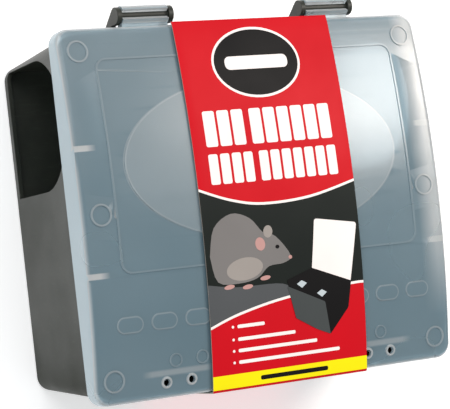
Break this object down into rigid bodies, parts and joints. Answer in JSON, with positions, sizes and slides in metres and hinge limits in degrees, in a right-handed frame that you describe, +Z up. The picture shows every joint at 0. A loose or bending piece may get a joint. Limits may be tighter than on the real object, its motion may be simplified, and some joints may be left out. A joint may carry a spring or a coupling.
{
  "type": "bait station",
  "caption": "Lockable box with side entry tunnel, arched translucent hinged lid, two key latches, baited rods and a slip-on card sleeve.",
  "frame": {"origin": "centre of the tub's underside, on the surface it stands on", "axes": "+Z up, +Y towards the hinge, +X to the right seen from the locks"},
  "size_m": [0.24, 0.228, 0.1119],
  "materials": {
    "black_plastic": "satin",
    "clear_plastic": "satin translucent",
    "steel": "bright",
    "bait": "waxy",
    "card": "printed card"
  },
  "bodies": {
    "tub": {"base_tub": "black_plastic", "bait_rod_left": "steel", "bait_rod_right": "steel", "tunnel_baffle": "black_plastic", "compartment_divider": "black_plastic", "latch_guide_left": "black_plastic", "latch_guide_right": "black_plastic"},
    "lid": {"lid": "clear_plastic"},
    "latch_left": {"lock_latch_left": "black_plastic"},
    "latch_right": {"lock_latch_right": "black_plastic"},
    "bait_left": {"bait_block_left_lower": "bait", "bait_block_left_upper": "bait"},
    "bait_right": {"bait_block_right_lower": "bait", "bait_block_right_upper": "bait"},
    "key": {"opening_key": "black_plastic"},
    "sleeve": {"card_sleeve": "card"}
  },
  "joints": [
    {"name": "lid_hinge", "type": "hinge", "parent": "tub", "child": "lid", "pos_m": [0, 0.114, 0.094], "axis": [-1, 0, 0], "range_deg": [0, 105]},
    {"name": "latch_left_slide", "type": "slide", "parent": "tub", "child": "latch_left", "axis": [0, -1, 0], "range_m": [0, 0.006]},
    {"name": "latch_right_slide", "type": "slide", "parent": "tub", "child": "latch_right", "axis": [0, -1, 0], "range_m": [0, 0.006]},
    {"name": "bait_left_lift", "type": "slide", "parent": "tub", "child": "bait_left", "axis": [0, 0, 1], "range_m": [0, 0.03]},
    {"name": "bait_right_lift", "type": "slide", "parent": "tub", "child": "bait_right", "axis": [0, 0, 1], "range_m": [0, 0.03]},
    {"name": "key_lift", "type": "slide", "parent": "tub", "child": "key", "axis": [0, 0, 1], "range_m": [0, 0.03]},
    {"name": "sleeve_lift", "type": "slide", "parent": "lid", "child": "sleeve", "axis": [0, 0, 1], "range_m": [0, 0.11]}
  ]
}
